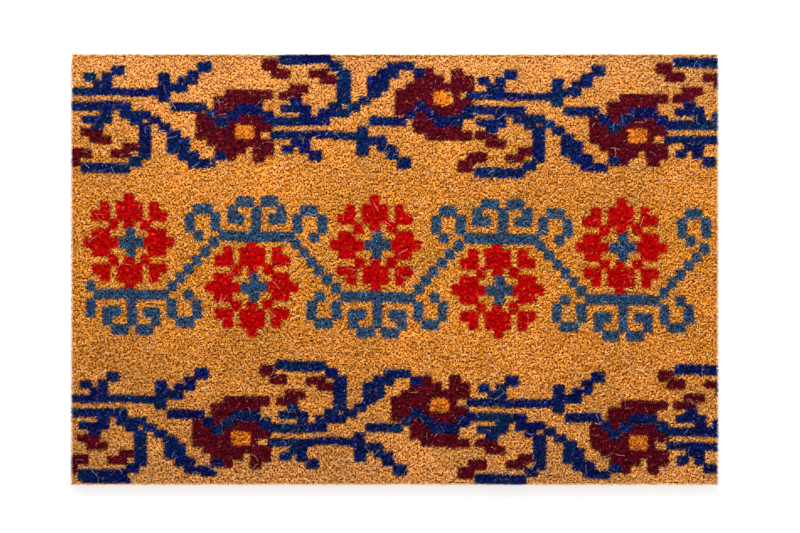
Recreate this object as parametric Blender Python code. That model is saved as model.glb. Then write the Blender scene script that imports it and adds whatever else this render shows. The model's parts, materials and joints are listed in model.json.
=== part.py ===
"""Coir door mat: a vinyl backing sheet with rows of cut coconut-fibre tufts planted in it.

Metres, +Z up. The origin is the middle of the underside. +X runs along the mat's long side,
and +Y runs from the front edge to the back edge. Each row of tufts is one solid: a pile block
that narrows to a root, and the root stands in a channel of the backing.
"""

import math

import bmesh
import bpy

# Driving dimensions
MAT_LENGTH = 0.600  # along X
MAT_WIDTH = 0.400  # along Y
BACKING_THICKNESS = 0.0030  # vinyl sheet, underside to upper face
PILE_HEIGHT = 0.0120  # from the vinyl's upper face to the sheared tips
ROW_COUNT = 50  # rows of tufts, front to back
ROOT_WIDTH = 0.0030  # the packed part of a row that the vinyl grips
ROOT_DEPTH = 0.0015  # how far a root reaches into the vinyl
CORNER_RADIUS = 0.0015  # the knife leaves the four corners of the mat slightly round
CORNER_STEPS = 4
PLANTING_GAP = 0.0003  # clearance round a root and under a pile block
ROW_GAP = 0.0003  # clearance between neighbouring rows

# Derived sizes
ROW_PITCH = MAT_WIDTH / ROW_COUNT
ROW_WIDTH = ROW_PITCH - ROW_GAP
CHANNEL_WIDTH = ROOT_WIDTH + 2 * PLANTING_GAP
CHANNEL_FLOOR = BACKING_THICKNESS - ROOT_DEPTH - PLANTING_GAP
PILE_BASE = BACKING_THICKNESS + PLANTING_GAP
PILE_TOP = BACKING_THICKNESS + PILE_HEIGHT
ROOT_BASE = BACKING_THICKNESS - ROOT_DEPTH
EDGE_LAND = (ROW_PITCH - CHANNEL_WIDTH) / 2  # vinyl outside the first and last channels
CORNER_ROUND = min(CORNER_RADIUS, 0.9 * EDGE_LAND)  # stays within that land

# Colours, linear RGB
COIR = (0.55, 0.24, 0.06)
VINYL = (0.012, 0.011, 0.010)


def clear_scene():
    """Start from an empty scene."""
    for thing in list(bpy.data.objects):
        bpy.data.objects.remove(thing, do_unlink=True)


def finish(name, colour, roughness):
    """A plain Principled finish for one sub-part."""
    material = bpy.data.materials.new(name)
    material.use_nodes = True
    shader = material.node_tree.nodes["Principled BSDF"]
    shader.inputs["Base Color"].default_value = (*colour, 1.0)
    shader.inputs["Roughness"].default_value = roughness
    shader.inputs["Metallic"].default_value = 0.0
    return material


def row_centre(index):
    """Y of the middle of a row; row 0 lies along the front edge."""
    return -MAT_WIDTH / 2 + (index + 0.5) * ROW_PITCH


def lengthen(mesh):
    """Extrude the flat section drawn at one end of the mat along its whole length."""
    section = list(mesh.faces)
    far_end = bmesh.ops.extrude_face_region(mesh, geom=section, use_keep_orig=True)
    moved = [part for part in far_end["geom"] if isinstance(part, bmesh.types.BMVert)]
    bmesh.ops.translate(mesh, verts=moved, vec=(MAT_LENGTH, 0.0, 0.0))
    bmesh.ops.recalc_face_normals(mesh, faces=list(mesh.faces))


def round_corners(mesh):
    """Round every upright edge that stands on one of the mat's four corners."""
    uprights = []
    for edge in mesh.edges:
        on_corner = all(
            math.isclose(abs(vert.co.x), MAT_LENGTH / 2, abs_tol=1e-6)
            and abs(vert.co.y) > MAT_WIDTH / 2 - ROW_GAP
            for vert in edge.verts
        )
        upright = abs(edge.verts[0].co.z - edge.verts[1].co.z) > PLANTING_GAP
        if on_corner and upright:
            uprights.append(edge)
    if uprights:
        bmesh.ops.bevel(
            mesh,
            geom=uprights,
            offset=CORNER_ROUND,
            segments=CORNER_STEPS,
            profile=0.5,
            affect="EDGES",
        )


def place(mesh, name, material):
    """Turn a finished bmesh into a named object."""
    data = bpy.data.meshes.new(name)
    mesh.to_mesh(data)
    mesh.free()
    data.materials.append(material)
    thing = bpy.data.objects.new(name, data)
    bpy.context.collection.objects.link(thing)
    return thing


def backing_section(mesh):
    """Draw the backing's cross-section as upright slices: a low one under each channel, and a
    full-height one between two channels, all standing on one continuous layer.
    """
    cuts = [-MAT_WIDTH / 2]
    for index in range(ROW_COUNT):
        cuts.append(row_centre(index) - CHANNEL_WIDTH / 2)
        cuts.append(row_centre(index) + CHANNEL_WIDTH / 2)
    cuts.append(MAT_WIDTH / 2)
    levels = (0.0, CHANNEL_FLOOR, BACKING_THICKNESS)
    columns = [[mesh.verts.new((-MAT_LENGTH / 2, y, z)) for z in levels] for y in cuts]
    for number, (near, far) in enumerate(zip(columns, columns[1:])):
        mesh.faces.new((near[0], far[0], far[1], near[1]))
        is_land = number % 2 == 0
        if is_land:
            mesh.faces.new((near[1], far[1], far[2], near[2]))


def vinyl_backing(material):
    """The flat vinyl sheet, with one open channel for each row of tufts."""
    mesh = bmesh.new()
    backing_section(mesh)
    lengthen(mesh)
    round_corners(mesh)
    return place(mesh, "vinyl_backing", material)


def tuft_row(index, material):
    """One row of tufts: a pile block on the vinyl, and the root that stands in its channel."""
    middle = row_centre(index)
    half_row = ROW_WIDTH / 2
    half_root = ROOT_WIDTH / 2
    outline = [
        (middle - half_root, ROOT_BASE),
        (middle + half_root, ROOT_BASE),
        (middle + half_root, PILE_BASE),
        (middle + half_row, PILE_BASE),
        (middle + half_row, PILE_TOP),
        (middle - half_row, PILE_TOP),
        (middle - half_row, PILE_BASE),
        (middle - half_root, PILE_BASE),
    ]
    mesh = bmesh.new()
    mesh.faces.new([mesh.verts.new((-MAT_LENGTH / 2, y, z)) for y, z in outline])
    lengthen(mesh)
    round_corners(mesh)
    return place(mesh, f"tuft_row_{index + 1:02d}", material)


def build_mat():
    """The whole mat: the backing, then the rows from front to back."""
    clear_scene()
    vinyl_backing(finish("vinyl", VINYL, 0.55))
    coir = finish("coir", COIR, 0.85)
    for index in range(ROW_COUNT):
        tuft_row(index, coir)


build_mat()
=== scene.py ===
# %% [markdown]
# # A coir door mat, fibre by fibre
#
# The mat is a bed of cut coconut fibre. Rows of stiff tufts stand upright in a sheet of soft
# vinyl, the pile is sheared flat, and a stepped pattern is printed on the tips from above.
# This lesson builds those things in that order: the vinyl sheet, fifty rows of real fibres made
# with Geometry Nodes, the printed dye, and the few loose hairs that the shearing leaves behind.
#
# The frame comes first. It holds the measured solids of the mat: a backing, and one plain block
# for each row. Every piece made here takes its place from them, and nothing is fitted by eye.

# %% The frame
import json
import math

import bmesh
import bpy
import numpy as np
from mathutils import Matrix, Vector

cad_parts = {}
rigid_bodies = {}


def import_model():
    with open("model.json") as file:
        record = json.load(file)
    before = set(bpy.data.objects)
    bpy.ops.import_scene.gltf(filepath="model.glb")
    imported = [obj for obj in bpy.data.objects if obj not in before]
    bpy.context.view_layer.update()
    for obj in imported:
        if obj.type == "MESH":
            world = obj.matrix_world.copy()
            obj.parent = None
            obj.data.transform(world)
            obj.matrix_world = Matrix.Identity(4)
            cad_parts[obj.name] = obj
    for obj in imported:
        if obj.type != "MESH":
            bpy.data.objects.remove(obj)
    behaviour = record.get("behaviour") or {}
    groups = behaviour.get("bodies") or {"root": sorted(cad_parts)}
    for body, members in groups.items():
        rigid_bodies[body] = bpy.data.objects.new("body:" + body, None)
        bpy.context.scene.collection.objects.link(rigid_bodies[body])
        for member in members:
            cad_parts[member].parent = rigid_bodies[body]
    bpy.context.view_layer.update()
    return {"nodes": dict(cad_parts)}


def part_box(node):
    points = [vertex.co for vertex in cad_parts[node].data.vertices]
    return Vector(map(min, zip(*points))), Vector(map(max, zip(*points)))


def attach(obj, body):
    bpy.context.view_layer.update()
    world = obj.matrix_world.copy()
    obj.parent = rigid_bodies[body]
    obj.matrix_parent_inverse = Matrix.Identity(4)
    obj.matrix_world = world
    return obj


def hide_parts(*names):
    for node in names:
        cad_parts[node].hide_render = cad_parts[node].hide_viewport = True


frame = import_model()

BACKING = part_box("vinyl_backing")
ROWS = sorted(name for name in frame["nodes"] if name.startswith("tuft_row_"))
LEFT, FRONT, FLOOR = BACKING[0]
RIGHT, BACK, VINYL_TOP = BACKING[1]
LENGTH = RIGHT - LEFT
WIDTH = BACK - FRONT
PILE_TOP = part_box(ROWS[0])[1][2]
ROW_PITCH = WIDTH / len(ROWS)
MM = 0.001
print(f"mat {LENGTH:.3f} x {WIDTH:.3f} m, pile top at {PILE_TOP:.4f} m, {len(ROWS)} rows of tufts")

# %% [markdown]
# ## Node maths that reads like maths
#
# A node tree can be wired by hand, one link at a time, but then nobody can read it back. Here a
# small class wraps one output socket and overloads the operators, so that `1 - mask * 0.5` adds
# its own Math nodes. One method adds any other node. The same two tools serve the shaders and
# the geometry trees, because both kinds of tree share the Math node.


# %% Sockets as expressions
def plug(tree, socket, value):
    """Link a wire to a socket, or write a plain value on it."""
    if isinstance(value, Wire):
        tree.links.new(value.socket, socket)
    else:
        socket.default_value = value


class Wire:
    """One output socket of a node tree, usable in arithmetic."""

    def __init__(self, tree, socket):
        self.tree = tree
        self.socket = socket

    def maths(self, operation, *terms):
        node = self.tree.nodes.new("ShaderNodeMath")
        node.operation = operation
        for socket, term in zip(node.inputs, terms):
            plug(self.tree, socket, term)
        return Wire(self.tree, node.outputs[0])

    def __add__(self, other):
        return self.maths("ADD", self, other)

    def __radd__(self, other):
        return self.maths("ADD", other, self)

    def __sub__(self, other):
        return self.maths("SUBTRACT", self, other)

    def __rsub__(self, other):
        return self.maths("SUBTRACT", other, self)

    def __mul__(self, other):
        return self.maths("MULTIPLY", self, other)

    def __rmul__(self, other):
        return self.maths("MULTIPLY", other, self)

    def __truediv__(self, other):
        return self.maths("DIVIDE", self, other)

    def __rtruediv__(self, other):
        return self.maths("DIVIDE", other, self)

    def __lt__(self, other):
        return self.maths("LESS_THAN", self, other)


class Board:
    """A node tree being wired."""

    def __init__(self, tree):
        self.tree = tree

    def add(self, kind, settings=None, values=None, out=0):
        """Add one node: its settings first, then its sockets; gives back one of its outputs."""
        node = self.tree.nodes.new(kind)
        for name, setting in (settings or {}).items():
            if name == "stops":
                self.set_stops(node.color_ramp, setting)
            else:
                setattr(node, name, setting)
        for name, value in (values or {}).items():
            plug(self.tree, self.find(node.inputs, name), value)
        return Wire(self.tree, self.find(node.outputs, out))

    @staticmethod
    def find(sockets, name):
        """A socket by its position, or by its name among those that are in use."""
        if isinstance(name, int):
            return sockets[name]
        return next(s for s in sockets if s.name == name and s.enabled)

    @staticmethod
    def set_stops(ramp, stops):
        """Give a colour ramp its stops, each a place and a colour."""
        while len(ramp.elements) < len(stops):
            ramp.elements.new(1.0)
        for element, (place, colour) in zip(ramp.elements, stops):
            element.position = place
            element.color = (*colour, 1.0)

    def mix(self, share, low, high, blend="MIX"):
        """Mix two colours."""
        settings = {"data_type": "RGBA", "blend_type": blend}
        return self.add("ShaderNodeMix", settings, {"Factor": share, "A": low, "B": high}, "Result")

    def grey(self, value):
        """A colour with the same value in all three channels."""
        values = {"Red": value, "Green": value, "Blue": value}
        return self.add("ShaderNodeCombineColor", None, values, "Color")

    def noise(self, place, scale, detail=2.0, roughness=0.5):
        """A grey noise between about 0.3 and 0.7, laid in the given coordinates."""
        values = {"Vector": place, "Scale": scale, "Detail": detail, "Roughness": roughness}
        return self.add("ShaderNodeTexNoise", None, values, "Fac")

    def ramp_between(self, value, low, high, to_low=0.0, to_high=1.0):
        """Carry a value smoothly from one range to another."""
        names = ("From Min", "From Max", "To Min", "To Max")
        values = dict(zip(names, (low, high, to_low, to_high)))
        settings = {"interpolation_type": "SMOOTHSTEP"}
        return self.add("ShaderNodeMapRange", settings, values | {"Value": value}, "Result")

    def axis(self, vector, name):
        """One coordinate of a vector."""
        return self.add("ShaderNodeSeparateXYZ", None, {"Vector": vector}, name)

    def vector(self, x, y, z=0.0):
        """A vector from three numbers."""
        return self.add("ShaderNodeCombineXYZ", None, {"X": x, "Y": y, "Z": z}, "Vector")

    def shape(self, kind, **values):
        """Add a node that changes a geometry, with its sockets' names written with underscores."""
        sockets = {name.replace("_", " "): value for name, value in values.items()}
        return self.add(kind, None, sockets, "Geometry")

    def store(self, geometry, name, value, domain="POINT", data_type="FLOAT"):
        """Store a value on the mesh under a name."""
        settings = {"data_type": data_type, "domain": domain}
        values = {"Geometry": geometry, "Name": name, "Value": value}
        return self.add("GeometryNodeStoreNamedAttribute", settings, values, "Geometry")

    def named(self, name, out="Color"):
        """Read an attribute that is stored on the mesh."""
        return self.add("ShaderNodeAttribute", {"attribute_name": name}, None, out)


def new_material(name, roughness, specular=0.3):
    """A Principled material and the board on which its colour is wired."""
    material = bpy.data.materials.new(name)
    material.use_nodes = True
    shader = material.node_tree.nodes["Principled BSDF"]
    shader.inputs["Roughness"].default_value = roughness
    shader.inputs["Specular IOR Level"].default_value = specular
    return material, Board(material.node_tree), shader


print("node tools ready")

# %% [markdown]
# ## Camera, floor and light
#
# A mat is looked at from above, so the camera hangs over it and looks straight down, with the
# long side across the picture. A long lens keeps the edges parallel. The stage is a white floor
# under one soft lamp that stands behind the mat's back edge, with a pale sky to fill the
# shadows. The lamp is what shows the fibres: each one is bright on the side that faces it.

# %% Stage
CAMERA_HEIGHT = 2.2
SENSOR = 36.0
VIEW_ACROSS = 0.7412
VIEW_SHIFT_X = 0.0049
VIEW_SHIFT_Y = 0.0026


def add_camera():
    data = bpy.data.cameras.new("camera")
    data.sensor_width = SENSOR
    data.lens = SENSOR * (CAMERA_HEIGHT - PILE_TOP) / VIEW_ACROSS
    data.clip_end = 50.0
    camera = bpy.data.objects.new("camera", data)
    camera.location = (VIEW_SHIFT_X, VIEW_SHIFT_Y, CAMERA_HEIGHT)
    bpy.context.collection.objects.link(camera)
    bpy.context.scene.camera = camera


def add_lamp(name, place, size, power, colour):
    data = bpy.data.lights.new(name, "AREA")
    data.shape = "DISK"
    data.size = size
    data.energy = power
    data.color = colour
    lamp = bpy.data.objects.new(name, data)
    lamp.location = place
    aim = -np.array(place)
    lamp.rotation_euler = (math.atan2(math.hypot(aim[0], aim[1]), -aim[2]), 0.0, 0.0)
    lamp.rotation_euler.z = math.atan2(aim[1], aim[0]) - math.pi / 2
    bpy.context.collection.objects.link(lamp)


def add_floor():
    mesh = bpy.data.meshes.new("floor")
    reach = 4.0
    corners = [(-reach, -reach), (reach, -reach), (reach, reach), (-reach, reach)]
    mesh.from_pydata([(x, y, FLOOR) for x, y in corners], [], [(0, 1, 2, 3)])
    floor = bpy.data.objects.new("floor", mesh)
    bpy.context.collection.objects.link(floor)
    material, _, shader = new_material("floor_paint", 0.9)
    shader.inputs["Base Color"].default_value = (0.60, 0.60, 0.60, 1.0)
    shader.inputs["Emission Color"].default_value = (1.0, 1.0, 1.0, 1.0)
    shader.inputs["Emission Strength"].default_value = 0.5
    mesh.materials.append(material)


def add_sky(strength):
    world = bpy.data.worlds.new("sky")
    world.use_nodes = True
    background = world.node_tree.nodes["Background"]
    background.inputs["Color"].default_value = (1.0, 1.0, 1.0, 1.0)
    background.inputs["Strength"].default_value = strength
    bpy.context.scene.world = world


add_camera()
add_floor()
add_sky(0.86)
add_lamp("softbox", (0.0, 0.85, 0.95), 0.35, 38.0, (1.0, 0.99, 0.97))
bpy.context.scene.view_settings.view_transform = "Standard"
print("stage ready, view", round(VIEW_ACROSS, 3), "m across")

# %% [markdown]
# ## The pattern on squared paper
#
# The print is a carpet weaver's kind of drawing: everything is a block on squared paper. The
# paper is 79 squares long and 52 squares wide. A picture could be painted over the mat instead,
# but blocks are what the printer's screens really hold, and they stay sharp at any size.
#
# A block is (left, right, top, bottom), in squares from the back left corner. One flowering
# spray is drawn once. The border repeats it, and every second one is turned upside down and
# moved on by about 24 squares, so that each root runs into the flower before it.

# %% Squared paper
NAVY, MAROON, ORANGE, TEAL, RED = "navy", "maroon", "orange", "teal", "red"
ACROSS = 79.0
SQUARE_X = LENGTH / ACROSS
SQUARE_Y = 7.71 * MM
SLANT = 0.011

SPRAY = [
    # leaves near the root
    (MAROON, [(1.1, 3.9, 8.9, 9.9), (2.25, 4.85, 9.8, 10.8)]),
    (MAROON, [(6.2, 8.2, 10.7, 11.7), (4.8, 7.2, 11.5, 12.5)]),
    (MAROON, [(0.2, 2.5, 11.4, 12.6), (-0.9, 1.0, 12.3, 13.7)]),
    # the flower: hood, face, lips and feet
    (MAROON, [(18.9, 24.7, 4.1, 5.2), (17.4, 20.0, 4.95, 6.6), (17.4, 19.1, 6.4, 8.0)]),
    (MAROON, [(19.0, 23.4, 5.0, 7.3), (15.15, 17.2, 7.0, 10.2), (16.4, 23.6, 7.1, 9.1)]),
    (MAROON, [(16.4, 23.1, 9.0, 11.0), (23.0, 24.7, 7.6, 9.1)]),
    (MAROON, [(22.1, 24.8, 9.95, 12.0), (22.1, 23.6, 11.9, 12.85)]),
    (MAROON, [(17.5, 21.3, 10.8, 11.9), (18.9, 20.1, 11.7, 12.75)]),
    (ORANGE, [(20.0, 22.15, 8.4, 9.9)]),
    # upper stalk with its leaf, and the climbing shoot
    (NAVY, [(0.1, 10.8, 4.05, 5.0), (1.5, 2.95, 2.3, 3.35), (2.6, 4.9, 3.1, 4.1)]),
    (NAVY, [(3.6, 4.9, 2.25, 3.2), (4.75, 6.4, 1.3, 2.5), (10.6, 12.05, 2.2, 5.75)]),
    (NAVY, [(12.0, 14.2, 3.4, 4.5), (13.0, 15.5, 2.6, 3.5), (14.1, 15.6, 1.75, 2.7)]),
    (NAVY, [(15.4, 17.1, 0.7, 2.0)]),
    # lower stalk with its hanging leaf
    (NAVY, [(0.0, 7.3, 5.7, 6.8), (3.6, 5.1, 6.7, 7.6), (1.3, 5.05, 7.35, 8.3)]),
    (NAVY, [(2.45, 4.0, 8.15, 9.05)]),
    # steps down from the stalk, round a small eye
    (NAVY, [(5.9, 9.75, 6.75, 7.8), (7.1, 8.7, 7.7, 8.55), (9.35, 11.0, 7.45, 8.45)]),
    (NAVY, [(10.7, 12.2, 8.25, 9.3), (11.8, 13.4, 9.05, 10.0)]),
    # stem and foot
    (NAVY, [(8.15, 9.75, 8.3, 12.6), (7.1, 8.7, 12.3, 13.5), (1.1, 7.3, 13.15, 14.35)]),
    # thick branch under the flower
    (NAVY, [(11.75, 14.4, 9.9, 11.85), (13.0, 15.6, 11.5, 12.7), (14.2, 17.6, 12.5, 13.5)]),
    (NAVY, [(17.5, 18.9, 11.7, 12.7)]),
    # the vein that waves through the flower
    (NAVY, [(12.1, 16.6, 5.75, 6.85), (16.5, 17.7, 6.6, 7.7), (17.5, 19.0, 7.6, 8.7)]),
    (NAVY, [(18.9, 20.3, 6.7, 7.8), (20.0, 23.5, 5.8, 7.0), (23.3, 24.8, 6.6, 7.9)]),
]
SPRAY_HEIGHT = 14.05
BORDERS = [
    (0.0, [(0.0, False), (24.3, True), (48.1, False), (72.3, True)]),
    (36.9, [(-0.4, False), (23.9, True), (48.2, False), (72.5, True)]),
]
HEAVY_FEET = [(NAVY, 1.1, 7.2, 50.9, 51.65), (NAVY, 15.9, 17.9, 49.9, 50.7)]


def border_blocks():
    """Both borders: the spray, upright and upside down in turn, and two feet that ran wide."""
    blocks = []
    for top, places in BORDERS:
        for shift, flipped in places:
            for ink, shapes in SPRAY:
                for left, right, high, low in shapes:
                    if flipped:
                        high, low = SPRAY_HEIGHT - low, SPRAY_HEIGHT - high
                    blocks.append((ink, left + shift, right + shift, high + top, low + top))
    return blocks + HEAVY_FEET


print(len(border_blocks()), "blocks in the two borders")

# %% [markdown]
# The middle band follows a rule all the way. A rosette is 11 squares each way and the same in all
# four quarters, so a row of it is written as spans of distance from its middle. Five rosettes
# stand 15 squares apart, high and low in turn. Each carries a bracket of hooks, and a flight of
# single squares climbs or falls from one bracket to the next. The blue screen sits a quarter of a
# square to the right of the red one, as screens do when they are laid down by hand.

# %% Rosettes and hooks
ROSETTE_RED = [[(2, 5)], [(3, 4)], [(0, 0), (2, 2)], [(0, 1), (3, 4)], [(0, 1), (3, 3)], [(0, 0)]]
ROSETTE_TEAL = [[(0, 1)], [(0, 0)]]
STEP_Y = 1.06
BLEED = {RED: 0.1, TEAL: 0.07}
DRIFT = {RED: 0.0, TEAL: 0.25}
ROSETTE_LEFT = 1.6
ROSETTE_TOP = 16.75
ROSETTE_STEP = 15
ROSETTE_DROP = 5
ROSETTE_COUNT = 5
MIDDLE = 5


def cell_block(ink, corner, columns, rows, nudge=(0.0, 0.0)):
    """The block that covers some columns and rows of a rosette's own small grid."""
    bleed = BLEED[ink]
    shift = nudge[0] + DRIFT[ink]
    left = corner[0] + columns[0] - bleed + shift
    right = corner[0] + columns[1] + 1 + bleed + shift
    high = corner[1] + rows[0] * STEP_Y - bleed + nudge[1]
    low = corner[1] + (rows[1] + 1) * STEP_Y + bleed + nudge[1]
    return (ink, left, right, high, low)


def rosette_blocks(corner):
    blocks = []
    for ink, spans_by_row in ((RED, ROSETTE_RED), (TEAL, ROSETTE_TEAL)):
        for away, spans in enumerate(spans_by_row):
            for near, far in spans:
                for row in {MIDDLE - away, MIDDLE + away}:
                    for columns in {(MIDDLE - far, MIDDLE - near), (MIDDLE + near, MIDDLE + far)}:
                        blocks.append(cell_block(ink, corner, columns, (row, row)))
    return blocks


def bracket_blocks(corner, hangs, sides, body=True):
    """The bar with its stem and hooks: under a high rosette, or upside down over a low one."""
    nudge = (0.0, 0.0) if hangs else (0.25, 0.2)
    shapes = [((1, 9), (11, 11)), ((5, 5), (12, 14))] if body else []
    for side in (-1, 1):
        half = []
        if body:
            half += [((2, 3), (13, 13)), ((2, 2), (14, 14)), ((3, 4), (15, 15)), ((0, 0), (12, 13))]
        if side in sides:
            half += [((-2, -1), (14, 14)), ((-3, -3), (12, 13)), ((-2, -2), (11, 11))]
            half += [] if body else [((0, 0), (12, 13))]
        for columns, rows in half:
            if side == 1:
                columns = (2 * MIDDLE - columns[1], 2 * MIDDLE - columns[0])
            shapes.append((columns, rows))
    blocks = []
    for columns, rows in shapes:
        if not hangs:
            rows = (2 * MIDDLE - rows[1], 2 * MIDDLE - rows[0])
        blocks.append(cell_block(TEAL, corner, columns, rows, nudge))
    return blocks


def middle_blocks():
    """The whole middle band."""
    blocks = []
    for number in range(ROSETTE_COUNT + 1):
        low = number % 2 == 1
        corner = (
            ROSETTE_LEFT + number * ROSETTE_STEP,
            ROSETTE_TOP + (ROSETTE_DROP * STEP_Y if low else 0.0),
        )
        if number == ROSETTE_COUNT:
            blocks += bracket_blocks(corner, False, (-1,), body=False)
            break
        blocks += rosette_blocks(corner)
        blocks += bracket_blocks(corner, not low, (1,) if number == 0 else (-1, 1))
        for step in range(6):
            row = step if low else 2 * MIDDLE - step
            column = 2 * MIDDLE + step
            blocks.append(cell_block(TEAL, corner, (column, column), (row, row)))
    blocks.append(cell_block(TEAL, (ROSETTE_LEFT, ROSETTE_TOP), (0, 0), (10, 10)))
    return blocks


BLOCKS = border_blocks() + middle_blocks()
print(len(BLOCKS), "blocks in the whole print")

# %% [markdown]
# ## How the dye lands
#
# The screens press dye on the tips from above, so a fibre takes the colour of the block that its
# tip stands in. Dye creeps a little from tip to tip: corners come out round and straight edges
# wander. Here that is a distance to a block with rounded corners, plus a slow wave along the mat
# and a small random error for each fibre. A few fibres in each block turn away and stay bare, and
# a few outside it catch a splash.

# %% Dye on the tips
DYES = {
    NAVY: ((0.001, 0.017, 0.117), 0.995, 0.80),
    MAROON: ((0.114, 0.0008, 0.012), 0.99, 0.55),
    ORANGE: ((0.74, 0.205, 0.006), 0.80, 0.60),
    TEAL: ((0.006, 0.082, 0.188), 0.96, 0.65),
    RED: ((0.47, 0.0008, 0.0020), 0.998, 0.22),
}
CORNER = 0.3
CREEP = 0.06
TIP_ERROR = 0.06
WAVE = 0.06
BARE_SHARE = 0.022
SPLASH_SHARE = 0.010
SMEAR_SHARE = 0.007


def slow_wave(x, y, seed):
    """A smooth wander of about plus or minus one, from a few crossed waves."""
    dice = np.random.default_rng(seed)
    total = np.zeros_like(x)
    for _ in range(7):
        along = dice.uniform(0.25, 1.1) / SQUARE_X
        turn = dice.uniform(0.0, 2 * math.pi)
        start = dice.uniform(0.0, 2 * math.pi)
        total += np.sin(along * (x * math.cos(turn) + y * math.sin(turn)) + start)
    return total / 2.0


def print_dye(x, y, seed):
    """Colour and strength of the dye on tips at the given places: an array of four columns."""
    dice = np.random.default_rng(seed)
    column = (x - LEFT) / SQUARE_X + WAVE * slow_wave(x, y, 11)
    row = (BACK - y) / SQUARE_Y - SLANT * (x - LEFT) / SQUARE_X + WAVE * slow_wave(x, y, 12)
    reach = CORNER + CREEP + dice.normal(0.0, TIP_ERROR, len(x))
    dye = np.zeros((len(x), 4))
    thickness = dice.normal(0.0, 1.0, len(x))
    luck = dice.random(len(x))
    greener = np.exp(0.35 * slow_wave(x, y, 13) + 0.45 * dice.normal(0.0, 1.0, len(x)) - 0.15)
    for ink, left, right, high, low in BLOCKS:
        aside = np.maximum(np.maximum(left + CORNER - column, column - right + CORNER), 0.0)
        above = np.maximum(np.maximum(high + CORNER - row, row - low + CORNER), 0.0)
        hit = np.hypot(aside, above) < reach
        colour, strength, uneven = DYES[ink]
        dye[hit, :3] = np.outer(np.exp(uneven * (thickness[hit] - uneven / 2)), colour)
        dye[hit, 3] = strength
        if ink == NAVY:
            dye[hit, 1] *= greener[hit]
    printed = dye[:, 3] > 0.0
    bare = printed & (luck < BARE_SHARE)
    dye[bare, 3] *= dice.uniform(0.3, 0.85, bare.sum())
    splashed = ~printed & (luck < SPLASH_SHARE)
    dye[splashed, :3] = DYES[RED][0]
    dye[splashed, 3] = dice.uniform(0.1, 0.45, splashed.sum())
    smeared = ~printed & (luck > 1 - SMEAR_SHARE)
    dye[smeared, :3] = DYES[NAVY][0]
    dye[smeared, 3] = dice.uniform(0.1, 0.5, smeared.sum())
    return dye


sample_x, sample_y = np.meshgrid(np.linspace(LEFT, RIGHT, 300), np.linspace(FRONT, BACK, 200))
sample = print_dye(sample_x.ravel(), sample_y.ravel(), 1)
print("share of the mat that is printed:", round(float((sample[:, 3] > 0.5).mean()), 3))

# %% [markdown]
# ## Coir
#
# Coconut fibre runs from dark brown to pale straw, one fibre at a time, so each fibre carries a
# number called shade and a ramp turns it into a colour. Painted shade makes the fibres darker and
# redder low in the pile and in the pits between the clumps, and less of it is painted along the
# mat's cut sides, where the fibres lie open. Towards the front and back edges the colour is
# painted paler, as painted light. The dye sits on the upper part of a fibre only. The dyed colour
# takes the painted shade too, the less the warmer the dye: the thick red is painted as filling the
# pits, and the thinner dyes leave them shaded dark. All of it reads the mesh's attributes and its
# place in the mat.

# %% Coir material
INK_DEPTH = 5.0 * MM
RIM = 1.8 * MM
PIT_SCALE = 640.0


def pits(board, flat):
    """Where the gaps between the clumps are: 0 in a clump, 1 in a gap. Shared by the shape and the
    painted shade.
    """
    return board.ramp_between(board.noise(flat, PIT_SCALE, 0.0), 0.565, 0.595)


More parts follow.
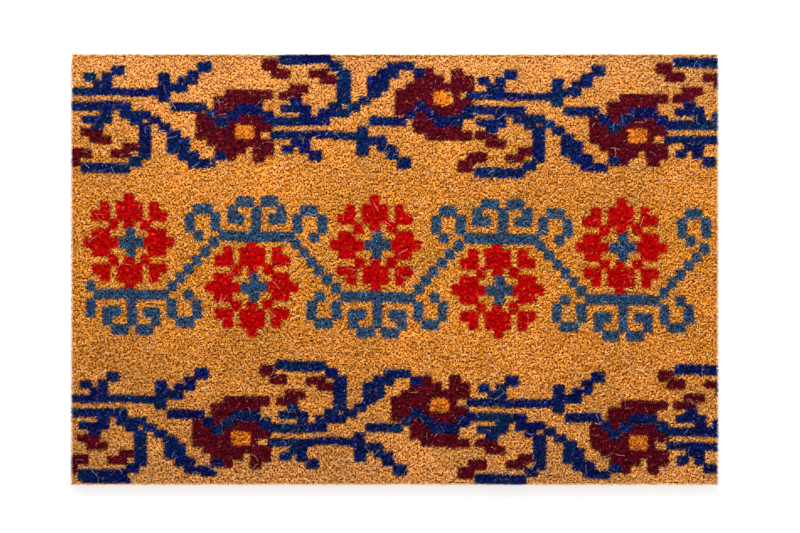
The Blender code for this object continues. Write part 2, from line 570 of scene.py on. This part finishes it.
def coir_material():
    material, board, shader = new_material("coir_fibre", 0.85, specular=0.02)
    place = board.add("ShaderNodeTexCoord", out="Object")
    along = board.axis(place, "X")
    across = board.axis(place, "Y")
    height = board.axis(place, "Z")
    shade = board.named("shade", "Fac")
    dye = board.named("dye")
    dyed = board.named("dye", "Alpha")
    natural = board.add(
        "ShaderNodeValToRGB",
        {
            "stops": [
                (0.00, (0.150, 0.035, 0.003)),
                (0.14, (0.460, 0.125, 0.004)),
                (0.36, (0.840, 0.348, 0.023)),
                (0.70, (0.930, 0.452, 0.062)),
                (1.00, (0.960, 0.690, 0.390)),
            ]
        },
        {"Fac": shade},
        "Color",
    )
    # Painted light: the natural colour is made paler towards the front and back edges, growing with the
    # square of the distance from the middle.
    painted_edge_light = across * across * (0.11 / BACK**2)
    natural = board.mix(painted_edge_light, natural, (1.0, 0.80, 0.60, 1.0))
    patches = board.noise(place, 22.0, 2.0)
    clouds = board.noise(place, 5.0, 1.0)
    tone = board.ramp_between(patches, 0.3, 0.7, 0.90, 1.06)
    tone = tone * board.ramp_between(clouds, 0.3, 0.7, 0.95, 1.05)
    past_x = along.maths("ABSOLUTE", along) - (RIGHT - RIM)
    past_y = across.maths("ABSOLUTE", across) - (BACK - RIM)
    open_side = board.ramp_between(past_x.maths("MAXIMUM", past_x, past_y), 0.0, RIM / 2)
    # Painted shade: lower in the pile the fibres are painted darker, and more so in the pits between
    # the clumps.
    painted_pile_shade = board.ramp_between(height, PILE_TOP - 5.0 * MM, PILE_TOP - 1.5 * MM, 0.30, 1.0)
    flat = board.vector(along, across)
    sunk = board.ramp_between(height, PILE_TOP - 0.7 * MM, PILE_TOP - 2.0 * MM)
    painted_pile_shade = painted_pile_shade * (1 - 0.9 * sunk * pits(board, flat))
    # Along the cut sides less shade is painted, and the colour is darker towards the bottom.
    painted_rim_shade = open_side * board.ramp_between(height, 0.0, PILE_TOP, 0.40, 0.75)
    painted_shade_factor = painted_pile_shade.maths("MAXIMUM", painted_pile_shade, painted_rim_shade)
    # The painted shade's colour: the natural colour made darker and redder.
    deep = board.mix(1.0, natural, (0.10, 0.032, 0.008, 1.0), "MULTIPLY")
    toned_and_shaded = board.mix(1.0, board.mix(painted_shade_factor, deep, natural), board.grey(tone), "MULTIPLY")
    reach = board.ramp_between(height, PILE_TOP - 2 * INK_DEPTH, PILE_TOP - INK_DEPTH, 0.0, 1.0)
    red = board.add("ShaderNodeSeparateColor", None, {"Color": dye}, "Red")
    green = board.add("ShaderNodeSeparateColor", None, {"Color": dye}, "Green")
    # The dyed colour takes the painted shade as well: the warmer the dye, the less of it.
    warmth = red - 2.5 * green
    shade_lift = 0.06 + 0.8 * warmth.maths("MAXIMUM", warmth, 0.0)
    shaded_dye = board.mix(1.0, dye, board.grey(shade_lift + (1 - shade_lift) * painted_shade_factor), "MULTIPLY")
    colour = board.mix(dyed * reach, toned_and_shaded, shaded_dye)
    plug(material.node_tree, shader.inputs["Base Color"], colour)
    return material


COIR = coir_material()
print("coir material:", len(COIR.node_tree.nodes), "nodes")

# %% [markdown]
# ## A bed of bristles, as a node tree
#
# A bristle is a three-sided stick: a flat cut end on top, thinning to a point at the hidden
# root. That is four triangles, because there will be hundreds of thousands of them. The tree
# scatters points over a rectangle, leans a stick on each in a random direction, and cuts it to the
# sheared height. The fibres stand in loose clumps, so a noise lets those between two clumps end
# lower, which leaves small pits, and the coir material paints them dark as painted shade. A stick
# that would lean out past the knife's cut is left out. Each stick gets its own small cell of the
# piece's UV map, where all its sides lie on each other, so that a colour baked from this mesh keeps
# every fibre apart.

# %% Bristle tree
STICK_SIDES = 3
STICK_POINTS = STICK_SIDES + 1
STICK_FACES = STICK_SIDES + 1
STICK_CORNERS = STICK_SIDES * 3 + STICK_SIDES
MAP_SHARE = 0.93
CELL_MARGIN = 0.08
STRIP_MARGIN = 0.01
ROUNDING_GUARD = 0.5 / STICK_CORNERS / 100
BAKE_MAP = "OFBake"


def new_tree(name, inputs):
    """An empty geometry tree with named inputs and a geometry output."""
    tree = bpy.data.node_groups.new(name, "GeometryNodeTree")
    for label, kind, value in inputs:
        socket = tree.interface.new_socket(name=label, in_out="INPUT", socket_type=kind)
        if value is not None:
            socket.default_value = value
    tree.interface.new_socket(name="Geometry", in_out="OUTPUT", socket_type="NodeSocketGeometry")
    source = tree.nodes.new("NodeGroupInput")
    inlets = {label: Wire(tree, source.outputs[label]) for label, _, _ in inputs}
    return tree, Board(tree), inlets


def close_tree(tree, wire):
    target = tree.nodes.new("NodeGroupOutput")
    tree.links.new(wire.socket, target.inputs["Geometry"])


FLOAT, WHOLE, VECTOR = "NodeSocketFloat", "NodeSocketInt", "NodeSocketVector"


def bristle_tree():
    tree, board, given = new_tree(
        "bristles",
        [
            ("Size X", FLOAT, LENGTH),
            ("Size Y", FLOAT, ROW_PITCH),
            ("Centre", VECTOR, None),
            ("Density", FLOAT, 8.0e5),
            ("Root Height", FLOAT, 9.0 * MM),
            ("Tip Height", FLOAT, PILE_TOP),
            ("Thickness", FLOAT, 0.50 * MM),
            ("Least Lean", FLOAT, 0.03),
            ("Most Lean", FLOAT, 0.7),
            ("Pit Depth", FLOAT, 6.0 * MM),
            ("Limit X", FLOAT, RIGHT),
            ("Limit Y", FLOAT, BACK),
            ("Seed", WHOLE, 0),
        ],
    )

    def dice(low, high, salt):
        values = {"Min": low, "Max": high, "Seed": given["Seed"] * 17 + salt}
        return board.add("FunctionNodeRandomValue", {"data_type": "FLOAT"}, values, "Value")

    size = {"Size X": given["Size X"], "Size Y": given["Size Y"]}
    plane = board.add("GeometryNodeMeshGrid", None, size, "Mesh")
    plane = board.shape("GeometryNodeTransform", Geometry=plane, Translation=given["Centre"])
    points = board.add(
        "GeometryNodeDistributePointsOnFaces",
        {"distribute_method": "RANDOM"},
        {"Mesh": plane, "Density": given["Density"], "Seed": given["Seed"]},
        "Points",
    )
    lean = given["Least Lean"] + (given["Most Lean"] - given["Least Lean"]) * dice(0.0, 1.0, 1)
    turn = dice(0.0, 2 * math.pi, 2)
    trim = dice(0.0, 1.0, 3)
    full = given["Tip Height"] - given["Root Height"]
    sideways = full * lean.maths("TANGENT", lean)
    spot = board.add("GeometryNodeInputPosition")
    spot_x = board.axis(spot, "X")
    spot_y = board.axis(spot, "Y")
    tip_x = spot_x + sideways * turn.maths("SINE", turn)
    tip_y = spot_y - sideways * turn.maths("COSINE", turn)
    tip = board.vector(tip_x, tip_y)
    pit = pits(board, tip) * given["Pit Depth"]
    length = (full - pit - trim * trim * (1.4 * MM)) / lean.maths("COSINE", lean)
    inside_x = tip_x.maths("ABSOLUTE", tip_x) < given["Limit X"]
    inside_y = tip_y.maths("ABSOLUTE", tip_y) < given["Limit Y"]
    rooted = board.vector(spot_x, spot_y, given["Root Height"])
    points = board.shape("GeometryNodeSetPosition", Geometry=points, Position=rooted)
    points = board.store(points, "shade", dice(0.0, 1.0, 4))
    cone = {"Vertices": STICK_SIDES, "Radius Top": 0.5, "Radius Bottom": 0.0, "Depth": 1.0}
    stick = board.add("GeometryNodeMeshCone", {"fill_type": "NGON"}, cone, "Mesh")
    corner = board.add("GeometryNodeInputPosition")
    stick_x = board.axis(corner, "X")
    stick_y = board.axis(corner, "Y")
    stick_z = board.axis(corner, "Z")
    map_u = 0.5 + (0.866 * stick_x + 0.5 * stick_y) / 0.9
    map_v = 0.7 * stick_z + 0.4 * (0.866 * stick_y - 0.5 * stick_x + 0.25)
    stick_map = board.vector(map_u, map_v)
    stick = board.store(stick, BAKE_MAP, stick_map, "CORNER", "FLOAT2")
    across = given["Thickness"] * dice(0.6, 1.4, 5)
    placed = board.add(
        "GeometryNodeInstanceOnPoints",
        None,
        {
            "Points": points,
            "Selection": inside_x * inside_y,
            "Instance": stick,
            "Rotation": board.vector(lean, 0.0, turn),
            "Scale": board.vector(across, across, length),
        },
        "Instances",
    )
    close_tree(tree, placed)
    return tree


BRISTLES = bristle_tree()
print("bristle tree:", len(BRISTLES.nodes), "nodes")

# %% [markdown]
# ## One row of tufts
#
# A row is one planted line of yarn ends, as long as the mat and one pitch wide. Its bristles fill
# the top. Lower down the fibres are packed so tight that nothing shows between them, so a rough
# block stands for that imported part, and the coir material paints it dark as painted shade low in
# the pile. Where the knife cut the mat, whole fibres show from the vinyl up: at both ends of every
# row, and all along the first and the last row.

# %% Row tree
PACKED_INSET = 1.2 * MM
PACKED_TOP = 11.8 * MM
PACKED_STEPS = (300, 5)
ROOT_HEIGHT = 8.6 * MM
EDGE_BAND = 2.0 * MM
SPLAY = 0.3 * MM


def row_tree():
    tree, board, given = new_tree(
        "tuft_row",
        [
            ("Row Middle", FLOAT, 0.0),
            ("Row Width", FLOAT, ROW_PITCH),
            ("Density", FLOAT, 8.0e5),
            ("Edge Density", FLOAT, 1.6e6),
            ("Front Band", FLOAT, 0.0),
            ("Seed", WHOLE, 0),
            ("Material", "NodeSocketMaterial", None),
        ],
    )

    def bed(values):
        node = tree.nodes.new("GeometryNodeGroup")
        node.node_tree = BRISTLES
        for name, value in values.items():
            plug(tree, node.inputs[name], value)
        return Wire(tree, node.outputs["Geometry"])

    top = bed(
        {
            "Size X": LENGTH - 2 * PACKED_INSET,
            "Size Y": given["Row Width"],
            "Centre": board.vector(0.0, given["Row Middle"]),
            "Density": given["Density"],
            "Root Height": ROOT_HEIGHT,
            "Most Lean": 0.64,
            "Limit X": RIGHT + SPLAY,
            "Limit Y": BACK + SPLAY,
            "Seed": given["Seed"],
        }
    )
    cut = {
        "Density": given["Edge Density"],
        "Root Height": VINYL_TOP - 0.6 * MM,
        "Most Lean": 0.12,
        "Thickness": 0.50 * MM,
        "Pit Depth": 1.5 * MM,
        "Limit X": RIGHT + SPLAY,
        "Limit Y": BACK + SPLAY,
    }
    beds = [top]
    for side, salt in ((LEFT + EDGE_BAND / 2, 101), (RIGHT - EDGE_BAND / 2, 202)):
        end = {"Size X": EDGE_BAND, "Size Y": given["Row Width"]}
        end["Centre"] = board.vector(side, given["Row Middle"])
        beds.append(bed(cut | end | {"Seed": given["Seed"] + salt}))
    is_front = given["Front Band"]
    edge_y = given["Row Middle"] + is_front * (ROW_PITCH - EDGE_BAND) / 2
    along = {"Size X": LENGTH, "Size Y": EDGE_BAND, "Centre": board.vector(0.0, edge_y)}
    along["Density"] = given["Edge Density"] * is_front.maths("ABSOLUTE", is_front)
    beds.append(bed(cut | along | {"Seed": given["Seed"] + 303}))

    join = tree.nodes.new("GeometryNodeJoinGeometry")
    for wire in beds:
        tree.links.new(wire.socket, join.inputs["Geometry"])
    sticks = board.shape("GeometryNodeRealizeInstances", Geometry=Wire(tree, join.outputs[0]))
    sticks = spread_cells(board, sticks)
    packed = packed_block(board, given)
    both = tree.nodes.new("GeometryNodeJoinGeometry")
    tree.links.new(sticks.socket, both.inputs["Geometry"])
    tree.links.new(packed.socket, both.inputs["Geometry"])
    whole = board.shape("GeometryNodeRealizeInstances", Geometry=Wire(tree, both.outputs[0]))
    whole = board.shape("GeometryNodeSetMaterial", Geometry=whole, Material=given["Material"])
    close_tree(tree, whole)
    return tree


def spread_cells(board, sticks):
    """Give every stick its own cell of the UV map, in reading order."""
    faces = board.add("GeometryNodeAttributeDomainSize", None, {"Geometry": sticks}, "Face Count")
    count = faces / STICK_FACES
    side = count.maths("CEIL", count.maths("SQRT", count))
    corner = board.add("GeometryNodeInputIndex")
    ratio = (corner + 0.5) / STICK_CORNERS
    number = ratio.maths("FLOOR", ratio)
    line = number / side
    row = line.maths("FLOOR", line + ROUNDING_GUARD)
    column = number - row * side
    settings = {"data_type": "FLOAT_VECTOR"}
    own = board.add("GeometryNodeInputNamedAttribute", settings, {"Name": BAKE_MAP}, "Attribute")
    used = 1 - 2 * CELL_MARGIN
    u = (column + CELL_MARGIN + used * board.axis(own, "X")) / side
    v = (row + CELL_MARGIN + used * board.axis(own, "Y")) / side
    cell = board.vector(u, v * MAP_SHARE)
    return board.store(sticks, BAKE_MAP, cell, "CORNER", "FLOAT2")


def packed_block(board, given):
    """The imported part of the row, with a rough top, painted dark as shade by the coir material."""
    low = VINYL_TOP + 0.1 * MM
    is_front = given["Front Band"]
    shrink = is_front.maths("ABSOLUTE", is_front) * PACKED_INSET
    size = board.vector(LENGTH - 2 * PACKED_INSET, given["Row Width"] - shrink, PACKED_TOP - low)
    middle = given["Row Middle"] - is_front * PACKED_INSET / 2
    values = {"Size": size, "Vertices X": PACKED_STEPS[0], "Vertices Y": PACKED_STEPS[1]}
    block = board.add("GeometryNodeMeshCube", None, values, "Mesh")
    block_map = Wire(board.tree, block.socket.node.outputs["UV Map"])
    moved = board.vector(0.0, middle, (PACKED_TOP + low) / 2)
    u = board.axis(block_map, "X")
    v = board.axis(block_map, "Y")
    used = 1 - MAP_SHARE - 2 * STRIP_MARGIN
    strip = board.vector(u, MAP_SHARE + STRIP_MARGIN + used * v)
    block = board.store(block, BAKE_MAP, strip, "CORNER", "FLOAT2")
    block = board.shape("GeometryNodeTransform", Geometry=block, Translation=moved)
    place = board.add("GeometryNodeInputPosition")
    lump = (board.noise(place, 420.0, 1.0) - 0.55) * (6.0 * MM)
    is_top = (PACKED_TOP - board.axis(place, "Z")) < 0.1 * MM
    rise = board.vector(0.0, 0.0, lump * is_top)
    block = board.shape("GeometryNodeSetPosition", Geometry=block, Offset=rise)
    block = board.store(block, "packed", 1.0)
    return board.store(block, "shade", board.noise(place, 900.0, 1.0) * 0.6)


ROW_TREE = row_tree()
print("row tree:", len(ROW_TREE.nodes), "nodes")

# %% [markdown]
# ## Planting the rows
#
# Each row is evaluated on its own, with its own seed, and turned into a plain mesh. Then it is
# printed: the dye is worked out at the place of each fibre's root and at its tip, and runs from
# one to the other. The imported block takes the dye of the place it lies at.

# %% Fifty rows
DENSITY = 1.5e6
EDGE_DENSITY = 4.5e6


def evaluated(name, tree, inputs):
    """Run a geometry tree on an empty mesh and give back the plain mesh that it makes."""
    mesh = bpy.data.meshes.new(name + "_seed")
    maker = bpy.data.objects.new(name + "_maker", mesh)
    bpy.context.collection.objects.link(maker)
    modifier = maker.modifiers.new("nodes", "NODES")
    modifier.node_group = tree
    for item in tree.interface.items_tree:
        if item.in_out == "INPUT" and item.name in inputs:
            modifier[item.identifier] = inputs[item.name]
    graph = bpy.context.evaluated_depsgraph_get()
    result = bpy.data.meshes.new_from_object(maker.evaluated_get(graph), depsgraph=graph)
    bpy.data.objects.remove(maker, do_unlink=True)
    bpy.data.meshes.remove(mesh)
    result.name = name
    return result


def column_of(mesh, name, width=1):
    """A mesh attribute as a numpy array."""
    layer = mesh.attributes[name]
    values = np.zeros(len(layer.data) * width, np.float32)
    layer.data.foreach_get("vector" if width == 3 else "value", values)
    return values.reshape(-1, width) if width > 1 else values


def print_row(mesh, seed):
    """Give every point its dye."""
    points = np.zeros(len(mesh.vertices) * 3, np.float32)
    mesh.vertices.foreach_get("co", points)
    points = points.reshape(-1, 3).astype(float)
    packed = column_of(mesh, "packed") > 0.5
    dye = np.zeros((len(points), 4))
    sticks = points[~packed].reshape(-1, STICK_POINTS, 3)
    order = np.argsort(sticks[:, :, 2], axis=1)
    ends = []
    for side in (order[:, :1], order[:, 1:]):
        end = np.take_along_axis(sticks, side[:, :, None], axis=1).mean(axis=1)
        ends.append(print_dye(end[:, 0], end[:, 1], seed))
    root, tip = ends
    clean_root = root[:, 3] == 0.0
    root[clean_root, :3] = tip[clean_root, :3]
    clean_tip = tip[:, 3] == 0.0
    tip[clean_tip, :3] = root[clean_tip, :3]
    on_sticks = np.zeros((len(sticks), STICK_POINTS, 4))
    np.put_along_axis(on_sticks, order[:, :1, None], root[:, None, :], axis=1)
    np.put_along_axis(on_sticks, order[:, 1:, None], tip[:, None, :], axis=1)
    dye[~packed] = on_sticks.reshape(-1, 4)
    dye[packed] = print_dye(points[packed, 0], points[packed, 1], seed + 1000)
    layer = mesh.attributes.new("dye", "FLOAT_COLOR", "POINT")
    layer.data.foreach_set("color", dye.astype(np.float32).ravel())
    return len(sticks)


def add_piece(name, mesh):
    piece = bpy.data.objects.new(name, mesh)
    bpy.context.collection.objects.link(piece)
    return piece


def plant_rows():
    total = 0
    for number, node in enumerate(ROWS):
        low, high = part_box(node)
        at_edge = -1.0 if number == 0 else 1.0 if number == len(ROWS) - 1 else 0.0
        mesh = evaluated(
            "coir" + node[4:],
            ROW_TREE,
            {
                "Row Middle": (low[1] + high[1]) / 2,
                "Row Width": ROW_PITCH,
                "Density": DENSITY,
                "Edge Density": EDGE_DENSITY,
                "Front Band": at_edge,
                "Seed": 40 + number,
                "Material": COIR,
            },
        )
        total += print_row(mesh, 500 + number)
        piece = add_piece("coir" + node[4:], mesh)
        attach(piece, "root")
        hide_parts(node)
    return total


print(plant_rows(), "fibres planted")

# %% [markdown]
# ## The vinyl sheet
#
# The backing is poured as a liquid on a belt, so its underside takes the belt's fine linen grain,
# and its edges are cut with a knife. It is one flat sheet 3 mm thick. A grid of small squares
# lets the cut edges wander by a fraction of a millimetre, which a plain box can't do.

# %% Vinyl sheet
SHEET_STEPS = (120, 80)
CUT_WANDER = 0.25 * MM


def vinyl_material():
    material, board, shader = new_material("soft_vinyl", 0.55, specular=0.35)
    place = board.add("ShaderNodeTexCoord", out="Object")
    dust = board.ramp_between(board.noise(place, 18.0, 4.0), 0.35, 0.72)
    colour = board.mix(dust, (0.016, 0.0145, 0.013, 1.0), (0.034, 0.030, 0.026, 1.0))
    plug(material.node_tree, shader.inputs["Base Color"], colour)
    plug(material.node_tree, shader.inputs["Roughness"], 0.46 + 0.22 * board.noise(place, 60.0, 3.0))
    waves = {"Vector": place, "Scale": 330.0, "Distortion": 0.6}
    warp = board.add("ShaderNodeTexWave", {"bands_direction": "X"}, waves, "Fac")
    weft = board.add("ShaderNodeTexWave", {"bands_direction": "Y"}, waves, "Fac")
    grain = warp * weft + 0.5 * board.noise(place, 1500.0, 2.0)
    bump = {"Strength": 0.45, "Distance": 0.15 * MM, "Height": grain}
    plug(material.node_tree, shader.inputs["Normal"], board.add("ShaderNodeBump", None, bump, "Normal"))
    return material


def vinyl_sheet():
    """A closed slab of small squares whose cut edges wander a little."""
    across, deep = SHEET_STEPS
    mesh = bmesh.new()
    bmesh.ops.create_grid(mesh, x_segments=across, y_segments=deep, size=0.5)
    for vert in mesh.verts:
        vert.co = (vert.co.x * LENGTH, vert.co.y * WIDTH, FLOOR)
    shell = bmesh.ops.extrude_face_region(mesh, geom=list(mesh.faces), use_keep_orig=True)
    raised = [part for part in shell["geom"] if isinstance(part, bmesh.types.BMVert)]
    bmesh.ops.translate(mesh, verts=raised, vec=(0.0, 0.0, VINYL_TOP - FLOOR))
    bmesh.ops.recalc_face_normals(mesh, faces=list(mesh.faces))
    for vert in mesh.verts:
        x, y, _ = vert.co
        if abs(x) > RIGHT - 0.1 * MM:
            wander = 1 + math.sin(91.0 * y) * math.sin(37.0 * y + 1.0)
            vert.co.x -= math.copysign(CUT_WANDER, x) * wander
        if abs(y) > BACK - 0.1 * MM:
            wander = 1 + math.sin(73.0 * x) * math.sin(29.0 * x + 2.0)
            vert.co.y -= math.copysign(CUT_WANDER, y) * wander
    rim = [e for e in mesh.edges if len(e.link_faces) == 2 and e.calc_face_angle() > 1.0]
    bmesh.ops.bevel(mesh, geom=rim, offset=0.35 * MM, segments=2, profile=0.5, affect="EDGES")
    data = bpy.data.meshes.new("vinyl_sheet")
    mesh.to_mesh(data)
    mesh.free()
    data.shade_smooth()
    data.set_sharp_from_angle(angle=math.radians(50))
    data.materials.append(vinyl_material())
    return data


SHEET = add_piece("vinyl_sheet", vinyl_sheet())
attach(SHEET, "root")
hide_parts("vinyl_backing")
print("vinyl sheet:", len(SHEET.data.polygons), "faces")

# %% [markdown]
# ## Loose hairs
#
# Shearing leaves long thin fibres lying on the pile. They are pale, bent, and show best on the
# dark print. Each is a bent three-sided tube, made along a short curve, and a tree scatters a few
# hundred of them, turned every way and pressed on the tips.

# %% Loose hairs
HAIR_COUNT = 600


def hair_tree():
    tree, board, given = new_tree(
        "loose_hairs",
        [
            ("Size X", FLOAT, LENGTH),
            ("Size Y", FLOAT, WIDTH),
            ("Height", FLOAT, PILE_TOP),
            ("Count", FLOAT, HAIR_COUNT),
            ("Thickness", FLOAT, 0.055 * MM),
            ("Seed", WHOLE, 7),
            ("Material", "NodeSocketMaterial", None),
        ],
    )

    def dice(low, high, salt):
        values = {"Min": low, "Max": high, "Seed": given["Seed"] * 31 + salt}
        return board.add("FunctionNodeRandomValue", {"data_type": "FLOAT"}, values, "Value")

    size = {"Size X": given["Size X"], "Size Y": given["Size Y"]}
    plane = board.add("GeometryNodeMeshGrid", None, size, "Mesh")
    density = given["Count"] / (given["Size X"] * given["Size Y"])
    points = board.add(
        "GeometryNodeDistributePointsOnFaces",
        {"distribute_method": "RANDOM"},
        {"Mesh": plane, "Density": density, "Seed": given["Seed"]},
        "Points",
    )
    rise = given["Height"] + dice(-0.2 * MM, 0.3 * MM, 1)
    up = board.vector(0.0, 0.0, rise)
    points = board.shape("GeometryNodeSetPosition", Geometry=points, Offset=up)
    points = board.store(points, "shade", dice(0.0, 1.0, 2))
    bend = {"Start": (-0.5, 0.0, 0.0), "Middle": (0.1, 0.4, 0.0), "End": (0.5, 0.0, 0.0)}
    bend["Resolution"] = 6
    path = board.add("GeometryNodeCurveQuadraticBezier", None, bend, "Curve")
    long = dice(3.5 * MM, 10.5 * MM, 3)
    turn = board.vector(dice(-0.3, 0.3, 5), dice(-0.08, 0.08, 6), dice(0.0, 2 * math.pi, 7))
    paths = board.add(
        "GeometryNodeInstanceOnPoints",
        None,
        {
            "Points": points,
            "Instance": path,
            "Rotation": turn,
            "Scale": board.vector(long, long * dice(-0.7, 0.7, 4), long),
        },
        "Instances",
    )
    paths = board.shape("GeometryNodeRealizeInstances", Geometry=paths)
    ring = {"Resolution": 3, "Radius": given["Thickness"]}
    ring = board.add("GeometryNodeCurvePrimitiveCircle", None, ring, "Curve")
    tube = {"Curve": paths, "Profile Curve": ring, "Fill Caps": True}
    placed = board.add("GeometryNodeCurveToMesh", None, tube, "Mesh")
    whole = board.shape("GeometryNodeSetMaterial", Geometry=placed, Material=given["Material"])
    close_tree(tree, whole)
    return tree


def hair_material():
    material, board, shader = new_material("pale_hair", 0.6, specular=0.4)
    shade = board.named("shade", "Fac")
    colour = board.mix(shade, (0.50, 0.36, 0.22, 1.0), (0.88, 0.80, 0.68, 1.0))
    plug(material.node_tree, shader.inputs["Base Color"], colour)
    return material


HAIR_INPUTS = {"Seed": 7, "Material": hair_material()}
HAIRS = add_piece("loose_hairs", evaluated("loose_hairs", hair_tree(), HAIR_INPUTS))
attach(HAIRS, "root")
print("loose hairs:", len(HAIRS.data.polygons), "faces")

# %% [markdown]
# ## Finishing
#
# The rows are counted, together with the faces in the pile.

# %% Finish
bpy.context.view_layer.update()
rows = [piece for piece in bpy.data.objects if piece.name.startswith("coir_row_")]
print(len(rows), "rows,", sum(len(row.data.polygons) for row in rows), "faces in the pile")
